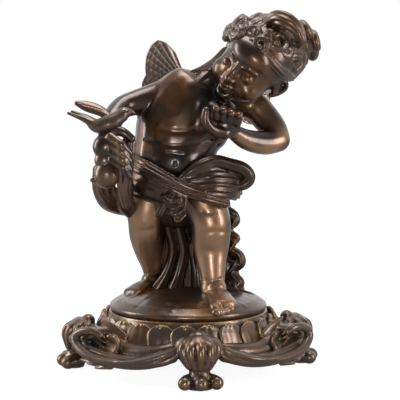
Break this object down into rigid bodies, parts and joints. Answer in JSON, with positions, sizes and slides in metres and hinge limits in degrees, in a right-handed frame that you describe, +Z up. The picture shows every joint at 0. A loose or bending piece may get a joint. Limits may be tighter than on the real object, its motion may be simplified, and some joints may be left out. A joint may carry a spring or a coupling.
{
  "type": "bronze fairy statuette",
  "caption": "Cast bronze winged child in draped cloth, a bird on the wrist, standing on a low mound on an ornamental base with lion-paw feet.",
  "frame": {"origin": "on the standing plane under the paws, on the axis of the base", "axes": "+Z up, -Y to the front where the child faces, +X to the side of the raised hand"},
  "size_m": [0.3272, 0.3276, 0.4447],
  "materials": {
    "dark_brown_bronze": "waxed dark brown patina on cast bronze, rubbed golden on the raised edges",
    "thin_wing_bronze": "duller grey-brown patina on thin cast bronze",
    "rubbed_brown_bronze": "brown patina on cast bronze, rubbed golden on rims, leaf tips and paws"
  },
  "bodies": {
    "root": {"fairy_figure": "dark_brown_bronze", "left_wing": "thin_wing_bronze", "right_wing": "thin_wing_bronze", "footed_base": "rubbed_brown_bronze"}
  },
  "joints": []
}
